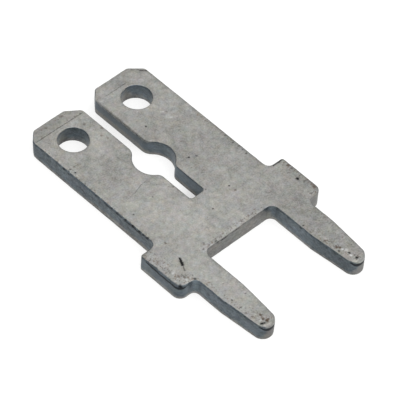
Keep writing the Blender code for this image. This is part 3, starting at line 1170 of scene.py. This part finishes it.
# %% [markdown]
# ## Mottled tin
#
# Matte tin is a crust of tiny crystals. Up close it is never one grey: there is a fine grain,
# blotches of a tenth or two of a millimetre, and slow clouds across a tab, a little bluer here
# and browner there. Both the broad faces and the cut edges need it, so it is a group. It takes
# a plain colour and gives out the mottled one, and a height for a grainy surface.

# %% Group: mottled tin
# Features in a millimetre, and detail, of each noise
CLOUDS = (1.3, 2.0)
BLOTCHES = (5.5, 2.0)
CRYSTALS = (15.0, 1.0)
HUE_SCALE = 3.0
HUE_DETAIL = 4.0
HUE_ROUGHNESS = 0.8

# How far the shade goes from its darkest to its palest with each, as a share of the colour
CLOUD_CHANGE = 0.52
BLOTCH_CHANGE = 0.66
CRYSTAL_CHANGE = 0.6
TINT_SPREAD = (0.34, 0, 0.4)  # how far red and blue wander from green


def make_mottle():
    group, given, result = new_group(
        "mottled_tin",
        [("Place", "NodeSocketVector", None), ("Colour", "NodeSocketColor", None),
         ("Tone", "NodeSocketFloat", 0.0), ("Contrast", "NodeSocketFloat", 1.0)],
        [("Colour", "NodeSocketColor"), ("Height", "NodeSocketFloat")],
    )
    place = given.outputs["Place"]
    blotches = grain(group, place, *BLOTCHES)
    crystals = grain(group, place, *CRYSTALS)
    wide = swing(group, grain(group, place, *CLOUDS), CLOUD_CHANGE)
    middle = swing(group, blotches, BLOTCH_CHANGE)
    fine = swing(group, crystals, CRYSTAL_CHANGE)
    change = sum_of(group, "ADD", sum_of(group, "ADD", wide, middle), fine)
    level = sum_of(group, "ADD", given.outputs["Tone"], 1.0)
    shade = scaled(group, change, given.outputs["Contrast"], level)
    hues = add(group, "ShaderNodeTexNoise", Vector=place, Scale=HUE_SCALE, Detail=HUE_DETAIL,
               Roughness=HUE_ROUGHNESS)
    tint = vector_of(group, "MULTIPLY_ADD", hues.outputs["Color"], TINT_SPREAD,
                     [1 - spread / 2 for spread in TINT_SPREAD])
    tinted = vector_of(group, "MULTIPLY", given.outputs["Colour"], tint)
    put(group, result.inputs["Colour"], vector_of(group, "SCALE", tinted, scale=shade))
    put(group, result.inputs["Height"], sum_of(group, "ADD", crystals, blotches))
    return group


mottled_tin = make_mottle()
print("group:", mottled_tin.name, [item.name for item in mottled_tin.interface.items_tree])

# %% [markdown]
# ## Dots, pits, stains and painted glints
#
# The marks look the same on a broad face and on a cut edge, so they are a group as well. Loose
# dots come from noise that is cut off high. Where a band is peppered, the cut-off drops and the
# dots get dense. The low end of the same noise gives dots a little paler than the tin, which are
# painted glints. Stored marks are laid over them: brown where the tin is thin, nearly black in a
# pit, and a bright painted glint on a few spots.

# %% Group: marks
PIT_COLOUR = (0.012, 0.013, 0.014, 1)
STAIN_COLOUR = (0.105, 0.075, 0.055, 1)
# The colour of a painted glint
GLINT_COLOUR = (0.75, 0.76, 0.76, 1)
DARK_DOT = (0.1, 0.095, 0.09, 1)
BROWN_DOT = (0.19, 0.145, 0.11, 1)
GLINT_DOT_GAIN = 0.15  # painted glints: how much brighter than the tin round it
DOTS = (12.0, 1.0)  # features in a millimetre, and detail, of the noise
DOT_LIMIT = 0.74  # above this the noise is a dot
PEPPERED_DROP = 0.18  # how much lower the limit is where a band is peppered
DOT_BORDER = 0.06
DOT_COVER = 0.6
GLINT_DOT_LIMITS = (1.04, 0.94)  # of noise and limit together: none above the first, full at the second
BROWN_PATCHES = (5.0, 0.0)
BROWN_LIMITS = (0.4, 0.55)


def make_marks():
    group, given, result = new_group(
        "marks",
        [("Place", "NodeSocketVector", None), ("Colour", "NodeSocketColor", None),
         ("Pepper", "NodeSocketFloat", 0.0), ("Pit", "NodeSocketFloat", 0.0),
         ("Stain", "NodeSocketFloat", 0.0), ("Glint", "NodeSocketFloat", 0.0)],
        [("Colour", "NodeSocketColor")],
    )
    place = given.outputs["Place"]
    limit = scaled(group, given.outputs["Pepper"], -PEPPERED_DROP, DOT_LIMIT)
    speckle = grain(group, place, *DOTS)
    dots = fade(group, sum_of(group, "SUBTRACT", speckle, limit), 0.0, DOT_BORDER)
    # Painted glints: the low end of the noise makes dots a little paler than the tin
    pale = fade(group, sum_of(group, "ADD", speckle, limit), *GLINT_DOT_LIMITS)
    brownness = fade(group, grain(group, place, *BROWN_PATCHES), *BROWN_LIMITS)
    dot_colour = blend(group, brownness, DARK_DOT, BROWN_DOT)
    brighter = scaled(group, pale, GLINT_DOT_GAIN, 1.0)
    glinted = vector_of(group, "SCALE", given.outputs["Colour"], scale=brighter)
    dotted = blend(group, sum_of(group, "MULTIPLY", dots, DOT_COVER), glinted, dot_colour)
    stained = blend(group, given.outputs["Stain"], dotted, STAIN_COLOUR)
    pitted = blend(group, given.outputs["Pit"], stained, PIT_COLOUR)
    # The painted glints go on last
    put(group, result.inputs["Colour"], blend(group, given.outputs["Glint"], pitted, GLINT_COLOUR))
    return group


marks = make_marks()
print("group:", marks.name, [item.name for item in marks.interface.items_tree])

# %% [markdown]
# ## Tin on the broad faces
#
# The faces keep the rolled strip's even surface under the tin, so one warm grey does for all of
# them. The mesh says where it is drawn paler or darker, with painted shade along the rims, and
# where the marks are.

# %% Material: broad faces
TIN = (0.382, 0.378, 0.358, 1)
METALNESS = 0.9
FACE_ROUGHNESS = 0.62
FACE_SHEEN = 0.1  # how much smoother the high grains are
FACE_GRAIN = 0.25
GRAIN_HEIGHT = 0.01


def tin_colour(tree, place, colour, contrast=1.0):
    """The given grey, mottled, with the tone that the mesh stores, painted light and shade
    included.
    """
    return use_group(tree, mottled_tin, Place=place, Colour=colour, Tone=stored(tree, "tone"),
                     Contrast=contrast)


def marked_colour(tree, place, colour):
    """The colour with the marks that the mesh stores laid over it."""
    layers = {name: stored(tree, name.lower()) for name in ("Pepper", "Pit", "Stain", "Glint")}
    return use_group(tree, marks, Place=place, Colour=colour, **layers).outputs["Colour"]


def grainy_normal(tree, height, strength):
    """The surface's direction, tilted by the grains."""
    distance = GRAIN_HEIGHT * MM
    bump = add(tree, "ShaderNodeBump", Height=height, Strength=strength, Distance=distance)
    return bump.outputs["Normal"]


def new_material(name):
    """A new material with its nodes and its surface."""
    material = bpy.data.materials.new(name)
    material.use_nodes = True
    return material, material.node_tree, material.node_tree.nodes["Principled BSDF"]


def make_plated_face():
    material, tree, surface = new_material("plated_face")
    place = place_in_mm(tree)
    tin = tin_colour(tree, place, TIN)
    height = tin.outputs["Height"]
    fill(tree, surface, {
        "Base Color": marked_colour(tree, place, tin.outputs["Colour"]),
        "Metallic": METALNESS,
        "Roughness": scaled(tree, height, -FACE_SHEEN, FACE_ROUGHNESS),
        "Normal": grainy_normal(tree, height, FACE_GRAIN),
    })
    return material


plated_face = make_plated_face()
print("material:", plated_face.name, "with", len(plated_face.node_tree.nodes), "nodes")

# %% [markdown]
# ## Tin on the cut edges
#
# The bands of a cut edge go round the whole part. The stored heights say how far each point is
# below the roll and above the tear, so the colour follows the real bands, and noise makes their
# borders ragged. The burnished band is dark and bluish with streaks along the edge, the tear is
# paler and warmer, and both colours are partly their own and partly painted shade, the dark that
# walls facing sideways show. In some places a black line lies just under the roll.

# %% Material: cut edges
# Both wall colours are partly the bands' own and partly painted shade: they are drawn much darker
# than the tin of the faces, as walls that face sideways look
BURNISHED_AND_SHADED = (0.101, 0.122, 0.137, 1)
TORN_AND_SHADED = (0.214, 0.212, 0.203, 1)
BLACK_LINE_COLOUR = (0.016, 0.019, 0.023, 1)
WALL_SQUEEZE = (0.75, 0.75, 1.4)  # the wall's blotches are larger, and longest along the edge
WALL_CONTRAST = 0.95
MOTTLE_GAIN = 1.15  # added to it for each unit of the stored shade and mottle
EDGE_ROUGHNESS = 0.57
BURNISHED_SHEEN = 0.12  # how much smoother the burnished band is
EDGE_GRAIN = 0.35

# Ragged borders: features in a millimetre and detail of the noise, and what it adds
TEAR_BORDER = (5.0, 3.0)
TEAR_RAGGEDNESS = 0.16
TEAR_FADE = 0.07  # above and below its border
ROLL_BORDER = (6.0, 2.0)
ROLL_RAGGEDNESS = 0.5
# How much further over the roll the painted shade of the wall is drawn, for each unit of the
# stored shade and mottle
ROLL_SHADE_REACH = 0.6
OVER_ROLL = (0.65, 1.0)  # how far round the roll the dark of the wall sets in and is full
WALL_TOP = (0.01, -0.02)  # heights over the wall's top where it sets in and is full

# The black line: its head and foot over the wall's top, at 0 and for each unit of blackness
BLACK_LINE_HEAD = (0.03, 0.015)
BLACK_LINE_FOOT = (-0.03, -0.055)
BLACK_LINE_FADE = 0.04
BLACK_LINE_WANDER = (4.0, 2.0)
BLACK_LINE_LIFTS = (0.1, -0.04)  # what the noise is multiplied by, and what is added
BLACK_LINE_PATCHES = (2.6, 3.0)
BLACK_LINE_GAIN = 0.3
PATCH_LIMITS = (0.58, 0.8)


def black_line_under_roll(tree, place, blackness):
    """How black the line under the roll is; its height and its darkness both wander."""
    wobble = scaled(tree, grain(tree, place, *BLACK_LINE_WANDER), *BLACK_LINE_LIFTS)
    height = sum_of(tree, "ADD", stored(tree, "below_roll"), wobble)
    patchy = scaled(tree, blackness, BLACK_LINE_GAIN, grain(tree, place, *BLACK_LINE_PATCHES))
    black = fade(tree, patchy, *PATCH_LIMITS)
    for (clean, per_blackness), softness in ((BLACK_LINE_HEAD, -BLACK_LINE_FADE), (BLACK_LINE_FOOT, BLACK_LINE_FADE)):
        border = scaled(tree, blackness, per_blackness, clean)
        inside = fade(tree, height, border, sum_of(tree, "ADD", border, softness))
        black = sum_of(tree, "MULTIPLY", black, inside)
    return black


def make_cut_edge():
    material, tree, surface = new_material("cut_edge")
    place = place_in_mm(tree)
    shade_and_mottle = stored(tree, "shade_and_mottle")
    streaked = vector_of(tree, "MULTIPLY", place, WALL_SQUEEZE)
    ragged = swing(tree, grain(tree, place, *TEAR_BORDER), TEAR_RAGGEDNESS)
    above_tear = sum_of(tree, "ADD", stored(tree, "above_tear"), ragged)
    torn = fade(tree, above_tear, TEAR_FADE, -TEAR_FADE)
    band = blend(tree, torn, BURNISHED_AND_SHADED, TORN_AND_SHADED)
    contrast = scaled(tree, shade_and_mottle, MOTTLE_GAIN, WALL_CONTRAST)
    wall = tin_colour(tree, streaked, band, contrast)
    roll = tin_colour(tree, place, TIN)
    speckle = swing(tree, grain(tree, place, *ROLL_BORDER), ROLL_RAGGEDNESS)
    # Painted shade: the dark of the wall is drawn up over the roll as far as the stored shade and
    # mottle reaches
    reach = scaled(tree, shade_and_mottle, ROLL_SHADE_REACH, stored(tree, "roll"))
    over_roll = fade(tree, sum_of(tree, "ADD", reach, speckle), *OVER_ROLL)
    on_wall = fade(tree, stored(tree, "below_roll"), *WALL_TOP)
    dark = sum_of(tree, "MAXIMUM", over_roll, on_wall)
    colour = blend(tree, dark, roll.outputs["Colour"], wall.outputs["Colour"])
    lined = blend(tree, black_line_under_roll(tree, place, stored(tree, "blackness")), colour, BLACK_LINE_COLOUR)
    smooth = sum_of(tree, "MULTIPLY", dark, sum_of(tree, "SUBTRACT", 1.0, torn))
    fill(tree, surface, {
        "Base Color": marked_colour(tree, place, lined),
        "Metallic": METALNESS,
        "Roughness": scaled(tree, smooth, -BURNISHED_SHEEN, EDGE_ROUGHNESS),
        "Normal": grainy_normal(tree, wall.outputs["Height"], EDGE_GRAIN),
    })
    return material


cut_edge = make_cut_edge()
print("material:", cut_edge.name, "with", len(cut_edge.node_tree.nodes), "nodes")

# %% Materials onto the mesh
terminal.data.materials.append(plated_face)
terminal.data.materials.append(cut_edge)
slots = np.zeros(len(terminal.data.polygons), np.int32)
slots[:edge_face_count] = 1
terminal.data.polygons.foreach_set("material_index", slots)
print("materials:", [material.name for material in terminal.data.materials])

# %% [markdown]
# ## In place of the CAD piece
#
# The fine mesh lies exactly where the plain solid does, so it only has to ride on the same body,
# and the plain CAD piece is hidden.

# %% Place of the terminal
body = next(iter(frame["bodies"]))
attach(terminal, body)
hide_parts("terminal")
print("the terminal rides on", body)

# %% [markdown]
# ## Floor, light and surroundings
#
# Small parts are photographed on a glowing white table, under a large soft lamp. The floor
# here is mostly light of its own for rays that come from the camera or from the metal, and the
# rest is a plain white that takes the part's soft shadow. Its own light is turned down a little
# under the slot, because hardly any light falls into so narrow a gap. The surroundings are pale
# grey and brighter overhead, and one large soft lamp hangs above the pins.

# %% Floor
FLOOR_SIZE = 1.2  # metres
FLOOR_GAP = 0.00001  # metres below the part, so that the two surfaces don't coincide
FLOOR_GLOW = 0.73
FLOOR_WHITE = (0.34, 0.34, 0.335, 1)
FLOOR_ROUGHNESS = 0.9

# Where the slot shades the floor, as (x, y, reach along x, reach along y, share of the glow)
SLOT_SHADES = [
    (0.26, 0.2, 1.25, 1.25, 0.35),
    (0.26, 5.4, 0.7, 2.6, 0.13),
]


def slot_shade(tree):
    """The share of the floor's glow that is missing at each place under the slot."""
    place = place_in_mm(tree)
    shade = 0.0
    for x, y, reach_x, reach_y, share in SLOT_SHADES:
        away = vector_of(tree, "SUBTRACT", place, (x, y, 0))
        in_reaches = vector_of(tree, "DIVIDE", away, (reach_x, reach_y, 1))
        distance = vector_of(tree, "LENGTH", in_reaches, result="Value")
        shade = scaled(tree, fade(tree, distance, 1, 0), share, shade)
    return shade


def make_floor():
    half = FLOOR_SIZE / 2
    mesh = bpy.data.meshes.new("floor")
    mesh.from_pydata([(-half, -half, 0), (half, -half, 0), (half, half, 0), (-half, half, 0)],
                     [], [(0, 1, 2, 3)])
    floor = new_object("floor", mesh)
    floor.location.z = -FLOOR_GAP
    material, tree, surface = new_material("white_table")
    path = tree.nodes.new("ShaderNodeLightPath")
    seen = sum_of(tree, "ADD", path.outputs["Is Camera Ray"], path.outputs["Is Glossy Ray"])
    glow = scaled(tree, slot_shade(tree), -FLOOR_GLOW, FLOOR_GLOW)
    fill(tree, surface, {
        "Base Color": FLOOR_WHITE,
        "Roughness": FLOOR_ROUGHNESS,
        "Emission Color": (1, 1, 1, 1),
        "Emission Strength": sum_of(tree, "MULTIPLY", seen, glow),
    })
    mesh.materials.append(material)


make_floor()
print("floor:", FLOOR_SIZE, "m square")

# %% Surroundings and lamp
HORIZON_LEVEL = 0.48
ZENITH_LEVEL = 1.1
LAMP_PLACE = Vector((-20, -90, 170))  # it shines from here at the middle of the part
LAMP_SIZE = 0.2  # metres
LAMP_POWER = 0.14  # watts


def make_world():
    """Pale surroundings that get brighter from the horizon up."""
    world = bpy.data.worlds.new("studio")
    world.use_nodes = True
    tree = world.node_tree
    direction = tree.nodes.new("ShaderNodeTexCoord").outputs["Generated"]
    parts = add(tree, "ShaderNodeSeparateXYZ", Vector=direction)
    levels = {"Value": parts.outputs["Z"], "To Min": HORIZON_LEVEL, "To Max": ZENITH_LEVEL}
    level = fill(tree, tree.nodes.new("ShaderNodeMapRange"), levels).outputs["Result"]
    fill(tree, tree.nodes["Background"], {"Color": (1, 1, 1, 1), "Strength": level})
    bpy.context.scene.world = world


def make_lamp():
    data = bpy.data.lights.new("soft_lamp", "AREA")
    data.shape = "SQUARE"
    data.size = LAMP_SIZE
    data.energy = LAMP_POWER
    lamp = new_object("soft_lamp", data)
    lamp.location = LAMP_PLACE * MM
    lamp.rotation_euler = LAMP_PLACE.to_track_quat("Z", "Y").to_euler()


make_world()
make_lamp()
bpy.context.scene.view_settings.view_transform = "Standard"
print("lamp stands at", list(LAMP_PLACE), "mm")
